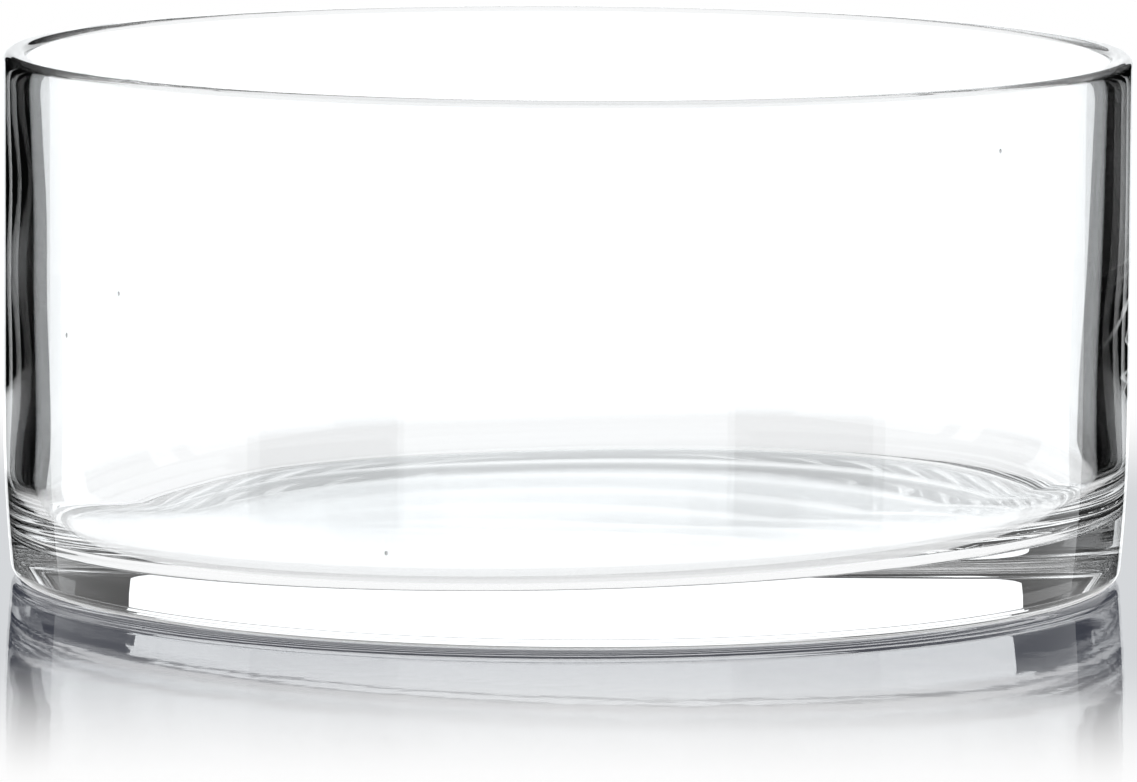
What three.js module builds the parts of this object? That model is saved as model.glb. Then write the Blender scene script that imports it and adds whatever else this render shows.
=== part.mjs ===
import * as THREE from 'three';

// Crystallizing dish: one piece of clear glass, a straight-sided low cylinder on a thick flat base,
// with a plain flat-topped rim and no pouring lip.
// Millimetres, +Z up. The origin is the centre of the underside, where the dish rests.

// Driving dimensions
const OUTER_RADIUS = 95;
const HEIGHT = 88.5;
const RIM_WALL = 4.0; // wall thickness just below the rim
const LOWER_WALL = 5.2; // wall thickness just above the inner corner
const RIM_EDGE = 1.3; // rounding of the two edges of the rim's flat top
const BASE_THICKNESS = 9.3; // from the underside to the middle of the floor inside
const FLOOR_LEAN = 0.028; // how much the floor inside rises towards +X, as a slope
const LEAN_TOP = 30; // the height on the inner wall at which that lean has died out
const HEEL_RADIUS = 2.4; // rounding between the underside and the outer wall
const DRAW_IN = 1.2; // how far the outer wall draws in towards the heel
const DRAW_HEIGHT = 28; // the height from which it draws in
const CORNER_ACROSS = 4.2; // the inner corner is a quarter of an ellipse, this far across
const CORNER_UP = 11; // and this far up the wall

// Facets
const SEGMENTS_AROUND = 96;
const ARC_STEPS = 6;
const DRAW_STEPS = 4;

const GLASS_COLOUR = 0xeaf1f4;
const GLASS_ROUGHNESS = 0.02;
const GLASS_OPACITY = 0.35;

const QUARTER_TURN = Math.PI / 2;

// Points along an arc of an ellipse in the profile, as (radius, height) pairs.
function arcPoints(centre, across, up, startAngle, endAngle) {
  const points = [];
  for (let step = 0; step <= ARC_STEPS; step += 1) {
    const angle = startAngle + ((endAngle - startAngle) * step) / ARC_STEPS;
    points.push(
      new THREE.Vector2(centre.x + across * Math.cos(angle), centre.y + up * Math.sin(angle)),
    );
  }
  return points;
}

// Points up the part of the outer wall that draws in, a parabola that ends upright at its top.
function drawnPoints(start) {
  const points = [];
  for (let step = 1; step <= DRAW_STEPS; step += 1) {
    const height = start.y + ((DRAW_HEIGHT - start.y) * step) / DRAW_STEPS;
    const left = (DRAW_HEIGHT - height) / (DRAW_HEIGHT - start.y);
    points.push(new THREE.Vector2(OUTER_RADIUS - (OUTER_RADIUS - start.x) * left * left, height));
  }
  return points;
}

// The outside of the dish's section: out along the underside, up the outer wall and over the rim.
function outerProfile() {
  const slope = Math.atan((2 * DRAW_IN) / DRAW_HEIGHT);
  const heelCentre = new THREE.Vector2(OUTER_RADIUS - DRAW_IN - HEEL_RADIUS, HEEL_RADIUS);
  const rimOuter = new THREE.Vector2(OUTER_RADIUS - RIM_EDGE, HEIGHT - RIM_EDGE);
  const rimInner = new THREE.Vector2(OUTER_RADIUS - RIM_WALL + RIM_EDGE, HEIGHT - RIM_EDGE);
  const heel = arcPoints(heelCentre, HEEL_RADIUS, HEEL_RADIUS, -QUARTER_TURN, -slope);
  return [
    new THREE.Vector2(0, 0),
    ...heel,
    ...drawnPoints(heel[heel.length - 1]),
    ...arcPoints(rimOuter, RIM_EDGE, RIM_EDGE, 0, QUARTER_TURN),
    ...arcPoints(rimInner, RIM_EDGE, RIM_EDGE, QUARTER_TURN, 2 * QUARTER_TURN),
  ];
}

// The inside of the section: from the end of the lean down the inner wall and along the floor.
function innerProfile() {
  const cornerCentre = new THREE.Vector2(
    OUTER_RADIUS - LOWER_WALL - CORNER_ACROSS,
    BASE_THICKNESS + CORNER_UP,
  );
  const cornerTop = new THREE.Vector2(OUTER_RADIUS - LOWER_WALL, cornerCentre.y);
  const rimFoot = new THREE.Vector2(OUTER_RADIUS - RIM_WALL, HEIGHT - RIM_EDGE);
  const share = (LEAN_TOP - cornerTop.y) / (rimFoot.y - cornerTop.y);
  return [
    new THREE.Vector2().lerpVectors(cornerTop, rimFoot, share),
    ...arcPoints(cornerCentre, CORNER_ACROSS, CORNER_UP, 0, -QUARTER_TURN),
    new THREE.Vector2(0, BASE_THICKNESS),
  ];
}

// Tips the floor inside up towards +X. The lean fades out up the inner wall.
function leanFloor(geometry, firstInnerRow, rows) {
  const position = geometry.getAttribute('position');
  for (let index = 0; index < position.count; index += 1) {
    if (index % rows >= firstInnerRow) {
      const height = position.getZ(index);
      const share = THREE.MathUtils.smoothstep(LEAN_TOP - height, 0, LEAN_TOP - BASE_THICKNESS);
      position.setZ(index, height + FLOOR_LEAN * position.getX(index) * share);
    }
  }
}

function makeDish() {
  const outer = outerProfile();
  const profile = [...outer, ...innerProfile()];
  const geometry = new THREE.LatheGeometry(profile, SEGMENTS_AROUND);
  geometry.rotateX(QUARTER_TURN); // the lathe turns about Y, and the dish stands along Z
  leanFloor(geometry, outer.length, profile.length);
  const material = new THREE.MeshStandardMaterial({
    color: GLASS_COLOUR,
    roughness: GLASS_ROUGHNESS,
    metalness: 0,
    transparent: true,
    opacity: GLASS_OPACITY,
  });
  const dish = new THREE.Mesh(geometry, material);
  dish.name = 'glass_dish';
  return dish;
}

const crystallizingDish = new THREE.Group();
crystallizingDish.add(makeDish());

export default crystallizingDish;
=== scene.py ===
"""Crystallizing dish: clear glass on a glossy pale table among soft white light panels."""

import math

import bmesh
import bpy
from mathutils import Matrix, Vector


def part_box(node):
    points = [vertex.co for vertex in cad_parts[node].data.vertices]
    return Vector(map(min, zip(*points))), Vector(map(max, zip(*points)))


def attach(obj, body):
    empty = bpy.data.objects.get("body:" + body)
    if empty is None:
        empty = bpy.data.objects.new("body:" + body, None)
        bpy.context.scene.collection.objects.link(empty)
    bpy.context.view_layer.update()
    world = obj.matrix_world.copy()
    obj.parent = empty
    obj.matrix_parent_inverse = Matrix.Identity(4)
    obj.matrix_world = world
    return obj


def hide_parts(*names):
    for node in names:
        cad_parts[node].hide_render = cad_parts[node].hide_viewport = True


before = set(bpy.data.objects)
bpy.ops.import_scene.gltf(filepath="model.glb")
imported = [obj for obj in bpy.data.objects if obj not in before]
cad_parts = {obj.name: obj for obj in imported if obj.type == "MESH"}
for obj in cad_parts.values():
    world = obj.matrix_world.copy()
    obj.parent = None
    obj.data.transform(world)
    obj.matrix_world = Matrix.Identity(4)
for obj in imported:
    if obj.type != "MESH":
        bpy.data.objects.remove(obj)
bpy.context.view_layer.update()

# ---------------------------------------------------------------- sizes, in metres, from the frame
low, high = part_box("glass_dish")
RADIUS = (high[0] - low[0]) / 2
HEIGHT = high[2] - low[2]
FLOOR_Z = low[2]

MM = 0.001
RIM_WALL = 4.0 * MM
LOWER_WALL = 5.2 * MM
RIM_EDGE = 1.3 * MM  # rounding of the rim's two edges
BASE_THICKNESS = 9.3 * MM
FLOOR_LEAN = 0.028  # the floor inside rises towards +X by this much of the way
LEAN_TOP = 30 * MM  # and the lean has died out up the wall by here
HEEL_RADIUS = 2.4 * MM
DRAW_IN = 1.2 * MM  # how far the outer wall draws in towards the heel
DRAW_HEIGHT = 28 * MM  # and from what height
CORNER_ACROSS = 4.2 * MM  # the inner corner is a quarter of an ellipse
CORNER_UP = 11 * MM

SEGMENTS_AROUND = 448
WALL_START = 0.9 * RADIUS  # inner points further out than this are on the wall and take its bulges


# ---------------------------------------------------------------- shader trees
class Tree:
    """A node tree being written: makes nodes and links them in one call.

    An input is given by its name, with _ for a space, or by its number after _.
    """

    def __init__(self, owner):
        owner.use_nodes = True
        self.nodes = owner.node_tree.nodes
        self.links = owner.node_tree.links
        self.nodes.clear()

    def node(self, kind, settings=None, **inputs):
        made = self.nodes.new("ShaderNode" + kind)
        for name, value in (settings or {}).items():
            setattr(made, name, value)
        for name, value in inputs.items():
            socket = made.inputs[int(name[1:])] if name[0] == "_" else made.inputs[name.replace("_", " ")]
            if isinstance(value, bpy.types.NodeSocket):
                self.links.new(value, socket)
            else:
                socket.default_value = value
        return made

    def maths(self, operation, *values):
        inputs = {f"_{index}": value for index, value in enumerate(values)}
        return self.node("Math", {"operation": operation}, **inputs).outputs[0]

    def ramp(self, value, start, end, low, high):
        made = self.node("MapRange", {"interpolation_type": "SMOOTHSTEP"}, Value=value)
        for name, number in zip(("From Min", "From Max", "To Min", "To Max"), (start, end, low, high)):
            made.inputs[name].default_value = number
        return made.outputs[0]


# ---------------------------------------------------------------- the glass
def arc(centre, across, up, start, end, steps):
    """Points of an ellipse's arc in the (radius, height) plane, without its first point."""
    for step in range(1, steps + 1):
        angle = start + (end - start) * step / steps
        yield centre[0] + across * math.cos(angle), centre[1] + up * math.sin(angle)


def line(start, end, steps):
    """Points of a straight stretch in the (radius, height) plane, without its first point."""
    for step in range(1, steps + 1):
        share = step / steps
        yield start[0] + (end[0] - start[0]) * share, start[1] + (end[1] - start[1]) * share


def dish_profile():
    """Half of the dish's section, from the middle of the underside round to the middle of the floor."""
    quarter = math.pi / 2
    inner = RADIUS - LOWER_WALL
    slope = math.atan(2 * DRAW_IN / DRAW_HEIGHT)
    heel_centre = (RADIUS - DRAW_IN - HEEL_RADIUS, HEEL_RADIUS)
    corner_top = (inner, BASE_THICKNESS + CORNER_UP)
    floor_edge = (inner - CORNER_ACROSS, BASE_THICKNESS)
    rim_z = HEIGHT - RIM_EDGE
    points = [(0.0, 0.0)]
    points += line((0, 0), (heel_centre[0], 0), 6)
    points += arc(heel_centre, HEEL_RADIUS, HEEL_RADIUS, -quarter, -slope, 12)
    heel_top = points[-1]
    for step in range(1, 13):
        z = heel_top[1] + (DRAW_HEIGHT - heel_top[1]) * step / 12
        left = (DRAW_HEIGHT - z) / (DRAW_HEIGHT - heel_top[1])
        points.append((RADIUS - (RADIUS - heel_top[0]) * left * left, z))
    points += line(points[-1], (RADIUS, rim_z), 20)
    points += arc((RADIUS - RIM_EDGE, rim_z), RIM_EDGE, RIM_EDGE, 0, quarter, 10)
    points += line(points[-1], (RADIUS - RIM_WALL + RIM_EDGE, HEIGHT), 4)
    points += arc((RADIUS - RIM_WALL + RIM_EDGE, rim_z), RIM_EDGE, RIM_EDGE, quarter, 2 * quarter, 10)
    points += line(points[-1], corner_top, 48)
    points += arc((floor_edge[0], corner_top[1]), CORNER_ACROSS, CORNER_UP, 0, -quarter, 24)
    points += line(floor_edge, (0, BASE_THICKNESS), 6)
    return points


# Where the inner wall bulges: direction and its spread in degrees,
# then height, its spread and the bulge in millimetres.
BULGES = (
    (171.0, 34.0, 62.0, 12.0, 0.15),
    (171.0, 34.0, 30.0, 16.0, 0.13),
    (12.0, 34.0, 36.0, 14.0, 0.18),
    (75.0, 35.0, 55.0, 16.0, 0.09),
    (115.0, 30.0, 30.0, 14.0, 0.07),
    (265.0, 40.0, 62.0, 16.0, 0.07),
)
# Ripples of the inner wall: waves round the dish, the height over which they turn, their start and size.
RIPPLES = ((5, 30 * MM, 2.0, 0.012 * MM), (9, -18 * MM, 0.7, 0.008 * MM))
RIM_PLAIN = 2 * MM  # the wall has no bulges within this much of the rim
RIM_FADE = 6 * MM  # and they grow to their full size over this much below it
FLOOR_FADE = 8 * MM  # or above the floor


def bulge(angle, height):
    """How much further in than its plain profile the inner wall stands."""
    total = 0.0
    for direction, spread, level, rise, amount in BULGES:
        turn = (math.degrees(angle) - direction + 180) % 360 - 180
        total += amount * MM * math.exp(-(turn / spread) ** 2 - ((height / MM - level) / rise) ** 2)
    for waves, pitch, phase, amount in RIPPLES:
        total += amount * math.sin(waves * angle + phase + height / pitch)
    to_rim = max(0.0, (HEIGHT - RIM_PLAIN - height) / RIM_FADE)
    to_floor = max(0.0, (height - BASE_THICKNESS) / FLOOR_FADE)
    return total * min(1.0, to_rim, to_floor)


def lean(height):
    """How much of the floor's lean reaches this height on the inner surface: all of it at the floor."""
    share = min(1.0, max(0.0, (LEAN_TOP - height) / (LEAN_TOP - BASE_THICKNESS)))
    return share * share * (3 - 2 * share)


# Seeds, the tiny bubbles in the glass: direction in degrees, height and radius in millimetres.
SEEDS = ((209.0, 45.0, 0.30), (202.0, 80.0, 0.25), (252.0, 15.0, 0.25),
         (33.0, 66.0, 0.30), (118.0, 71.0, 0.25), (151.0, 41.0, 0.30))


def add_seed(bm, direction, height, size):
    """A bubble in the middle of the wall. Its faces look into the bubble, away from the glass."""
    angle = math.radians(direction)
    reach = RADIUS - LOWER_WALL / 2
    centre = Vector((reach * math.cos(angle), reach * math.sin(angle), FLOOR_Z + height * MM))
    stretch = Matrix.Diagonal((1.0, 1.0, 1.5, 1.0))
    made = bmesh.ops.create_icosphere(bm, subdivisions=2, radius=size * MM,
                                      matrix=Matrix.Translation(centre) @ stretch)
    faces = {face for vertex in made["verts"] for face in vertex.link_faces}
    bmesh.ops.reverse_faces(bm, faces=list(faces))
    for face in faces:
        face.smooth = True


def build_dish():
    profile = dish_profile()
    inner_start = profile.index(max(profile, key=lambda point: point[1]))
    mesh = bpy.data.meshes.new("dish_glass")
    bm = bmesh.new()
    rings = []
    for index, (radius, height) in enumerate(profile):
        if radius < 1e-9:
            rings.append([bm.verts.new((0, 0, FLOOR_Z + height))])
            continue
        ring = []
        on_wall = index > inner_start and radius > WALL_START
        for segment in range(SEGMENTS_AROUND):
            angle = 2 * math.pi * segment / SEGMENTS_AROUND
            reach = radius - (bulge(angle, height) if on_wall else 0.0)
            rise = FLOOR_LEAN * reach * math.cos(angle) * lean(height) if index > inner_start else 0.0
            place = (reach * math.cos(angle), reach * math.sin(angle), FLOOR_Z + height + rise)
            ring.append(bm.verts.new(place))
        rings.append(ring)
    for lower, upper in zip(rings, rings[1:]):
        for segment in range(SEGMENTS_AROUND):
            after = (segment + 1) % SEGMENTS_AROUND
            if len(lower) == 1:
                corners = (lower[0], upper[after], upper[segment])
            elif len(upper) == 1:
                corners = (lower[segment], lower[after], upper[0])
            else:
                corners = (lower[segment], lower[after], upper[after], upper[segment])
            bm.faces.new(corners).smooth = True
    for direction, height, size in SEEDS:
        add_seed(bm, direction, height, size)
    bm.normal_update()
    bm.to_mesh(mesh)
    bm.free()
    dish = bpy.data.objects.new("dish_glass", mesh)
    bpy.context.scene.collection.objects.link(dish)
    dish.data.materials.append(glass_material())
    return dish


GLASS_TINT = (0.978, 0.988, 0.994, 1)
GLASS_CLEAR = (0.992, 0.996, 0.998, 1)
GLASS_DRIFT_SCALE = 22.0
GLASS_IOR = 1.5


def glass_material():
    """Clear glass whose faint tint drifts a little from place to place."""
    material = bpy.data.materials.new("clear_glass")
    tree = Tree(material)
    place = tree.node("TexCoord").outputs["Object"]
    drift = tree.node("TexNoise", Vector=place, Scale=GLASS_DRIFT_SCALE, Detail=3.0).outputs[0]
    tint = tree.node("MixRGB", Fac=drift, Color1=GLASS_TINT, Color2=GLASS_CLEAR)
    shader = tree.node("BsdfPrincipled", Base_Color=tint.outputs[0], Roughness=0.0, IOR=GLASS_IOR,
                       Transmission_Weight=1.0)
    tree.node("OutputMaterial", Surface=shader.outputs[0])
    return material


# ---------------------------------------------------------------- panels, flags and table
# Four soft white panels stand round the dish, with unlit gaps between them,
# and two black flags stand behind it, one on each side. The camera doesn't see them.
PANEL_DISTANCE = 3.8 * RADIUS
PANEL_HALF_WIDTH = 2.2 * RADIUS
PANEL_HEIGHT = 1.6 * RADIUS
PANEL_COLOUR = (0.97, 0.99, 1.0, 1)
PANEL_WHITE = 1.3
BACK_PANEL_SHIFT = -0.17 * RADIUS  # the back panel stands a little to the left
BELOW_TABLE = 5 * MM  # how far panels and flags reach below the table, so that no gap shows under them
FLAG_PLACE = 1.0 * RADIUS  # how far behind the axis the flags stand
FLAG_START = 1.27 * RADIUS
FLAG_END = 2.6 * RADIUS
FLAG_HEIGHT = 1.3 * RADIUS
CARD_BLACK = (0.01, 0.01, 0.01, 1)
GAP_LIGHT = 0.03  # what little light comes from elsewhere
BACKDROP = 1.3  # how bright the background is to the camera

TABLE_HALF_WIDTH = 30 * RADIUS
TABLE_GAP = 0.1 * MM  # between the table and the underside, so that the two surfaces don't touch
TABLE_WHITE = 1.0
TABLE_MIRROR = (0.5, 0.5, 0.5, 1)  # how the camera sees the table mirror the dish
TABLE_MIRROR_ROUGHNESS = 0.03
TABLE_FULL_MIRROR = (0.97, 0.97, 0.97, 1)  # how every other ray does
TABLE_PAINTED_GLOW = (0.78, 0.86, 1.2, 1)  # painted blue glow: faint emission added to what the camera sees mirrored
TABLE_PAINTED_GLOW_STRENGTH = 0.042
TABLE_WAVES = 0.03 * MM
TABLE_WAVE_SCALE = 75.0
GRAZING_START, GRAZING_END = 0.76, 0.83  # Layer Weight's Facing, as the table turns glossy
GLOSS_START, GLOSS_END = 0.95 * RADIUS, 2.55 * RADIUS  # the camera sees the gloss fade between these


def plane(name, centre, across, up, half_width, half_height):
    mesh = bpy.data.meshes.new(name)
    corners = []
    for u, v in ((-1, -1), (1, -1), (1, 1), (-1, 1)):
        corners.append(Vector(centre) + Vector(across) * u * half_width + Vector(up) * v * half_height)
    mesh.from_pydata(corners, [], [(0, 1, 2, 3)])
    mesh.update()
    thing = bpy.data.objects.new(name, mesh)
    bpy.context.scene.collection.objects.link(thing)
    return thing


def build_panels():
    material = bpy.data.materials.new("panel_glow")
    tree = Tree(material)
    glow = tree.node("Emission", Color=PANEL_COLOUR, Strength=PANEL_WHITE)
    tree.node("OutputMaterial", Surface=glow.outputs[0])
    for name, x, y in (("back", 0, 1), ("front", 0, -1), ("right", 1, 0), ("left", -1, 0)):
        shift = BACK_PANEL_SHIFT if name == "back" else 0.0
        middle_z = FLOOR_Z - BELOW_TABLE + PANEL_HEIGHT / 2
        centre = (x * PANEL_DISTANCE + shift, y * PANEL_DISTANCE, middle_z)
        panel = plane("panel_" + name, centre, (y, x, 0), (0, 0, 1), PANEL_HALF_WIDTH, PANEL_HEIGHT / 2)
        panel.data.materials.append(material)
        panel.visible_camera = False


def build_flags():
    material = bpy.data.materials.new("black_card")
    tree = Tree(material)
    card = tree.node("BsdfDiffuse", Color=CARD_BLACK)
    tree.node("OutputMaterial", Surface=card.outputs[0])
    middle = (FLAG_START + FLAG_END) / 2
    half_width = (FLAG_END - FLAG_START) / 2
    for name, side in (("left", -1), ("right", 1)):
        centre = (side * middle, FLAG_PLACE, FLOOR_Z - BELOW_TABLE + FLAG_HEIGHT / 2)
        flag = plane("flag_" + name, centre, (1, 0, 0), (0, 0, 1), half_width, FLAG_HEIGHT / 2)
        flag.data.materials.append(material)
        flag.visible_camera = False


def table_material():
    """Pale, and a mirror at grazing angles. To the camera it is plainer than to other rays, and where it
    mirrors the dish it carries a painted blue glow.
    """
    material = bpy.data.materials.new("glossy_table")
    tree = Tree(material)
    seen = tree.node("LightPath").outputs["Is Camera Ray"]
    facing = tree.node("LayerWeight", Blend=0.5).outputs["Facing"]
    place = tree.node("SeparateXYZ", _0=tree.node("NewGeometry").outputs["Position"])
    ahead = tree.maths("MAXIMUM", tree.maths("ABSOLUTE", place.outputs["X"]),
                       tree.maths("ABSOLUTE", place.outputs["Y"]))
    grazing = tree.ramp(facing, GRAZING_START, GRAZING_END, 0.0, 1.0)
    near = tree.ramp(ahead, GLOSS_START, GLOSS_END, 1.0, 0.0)
    share_seen = tree.maths("MULTIPLY", grazing, near)
    waves = tree.node("TexNoise", Vector=tree.node("NewGeometry").outputs["Position"],
                      Scale=TABLE_WAVE_SCALE, Detail=3.0)
    wavy = tree.node("Bump", Strength=1.0, Distance=TABLE_WAVES, Height=waves.outputs[0])
    mirror = tree.node("BsdfGlossy", Color=TABLE_MIRROR, Roughness=TABLE_MIRROR_ROUGHNESS,
                       Normal=wavy.outputs[0])
    # Painted blue glow: an emission added to the mirror, seen by the camera where the table mirrors the
    # dish.
    painted_glow = tree.node("Emission", Color=TABLE_PAINTED_GLOW, Strength=TABLE_PAINTED_GLOW_STRENGTH)
    glossy = tree.node("AddShader", _0=mirror.outputs[0], _1=painted_glow.outputs[0])
    pale = tree.node("Emission", Color=(1, 1, 1, 1), Strength=TABLE_WHITE)
    for_camera = tree.node("MixShader", _0=share_seen, _1=pale.outputs[0], _2=glossy.outputs[0])
    full_mirror = tree.node("BsdfGlossy", Color=TABLE_FULL_MIRROR, Roughness=0.0)
    for_others = tree.node("MixShader", _0=grazing, _1=pale.outputs[0], _2=full_mirror.outputs[0])
    mixed = tree.node("MixShader", _0=seen, _1=for_others.outputs[0], _2=for_camera.outputs[0])
    tree.node("OutputMaterial", Surface=mixed.outputs[0])
    material.cycles.emission_sampling = "NONE"
    return material


def build_floor():
    place = (0, 0, FLOOR_Z - TABLE_GAP)
    floor = plane("floor", place, (1, 0, 0), (0, 1, 0), TABLE_HALF_WIDTH, TABLE_HALF_WIDTH)
    floor.data.materials.append(table_material())
    floor.visible_diffuse = False


def build_world():
    world = bpy.data.worlds.new("studio")
    bpy.context.scene.world = world
    tree = Tree(world)
    seen = tree.node("LightPath").outputs["Is Camera Ray"]
    strength = tree.node("Mix", {"data_type": "FLOAT"}, _0=seen, _2=GAP_LIGHT, _3=BACKDROP)
    background = tree.node("Background", Color=(1, 1, 1, 1), Strength=strength.outputs[0])
    tree.node("OutputWorld", Surface=background.outputs[0])


# ---------------------------------------------------------------- camera
SENSOR_WIDTH, FOCAL_LENGTH = 36, 329.3  # millimetres
CAMERA_PITCH, CAMERA_ROLL, CAMERA_YAW = 0.11811, 0.0059, 0.0002  # radians
CAMERA_DISTANCE = 18.365 * RADIUS
CAMERA_HEIGHT = 2.504 * RADIUS


def build_camera():
    data = bpy.data.cameras.new("camera")
    camera = bpy.data.objects.new("camera", data)
    bpy.context.scene.collection.objects.link(camera)
    data.sensor_width = SENSOR_WIDTH
    data.lens = FOCAL_LENGTH
    data.clip_start = 0.01
    data.clip_end = 100
    place = Vector((0, -CAMERA_DISTANCE, FLOOR_Z + CAMERA_HEIGHT))
    turn = Matrix.Rotation(-CAMERA_YAW, 4, "Z")
    turn @= Matrix.Rotation(math.pi / 2 - CAMERA_PITCH, 4, "X")
    turn @= Matrix.Rotation(CAMERA_ROLL, 4, "Z")
    camera.matrix_world = Matrix.Translation(place) @ turn
    bpy.context.scene.camera = camera


def set_render():
    scene = bpy.context.scene
    scene.view_settings.view_transform = "Standard"
    scene.cycles.max_bounces = 32
    scene.cycles.transmission_bounces = 32
    scene.cycles.glossy_bounces = 32
    scene.cycles.use_denoising = True


dish = build_dish()
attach(dish, "root")
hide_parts("glass_dish")
build_panels()
build_flags()
build_floor()
build_world()
build_camera()
set_render()
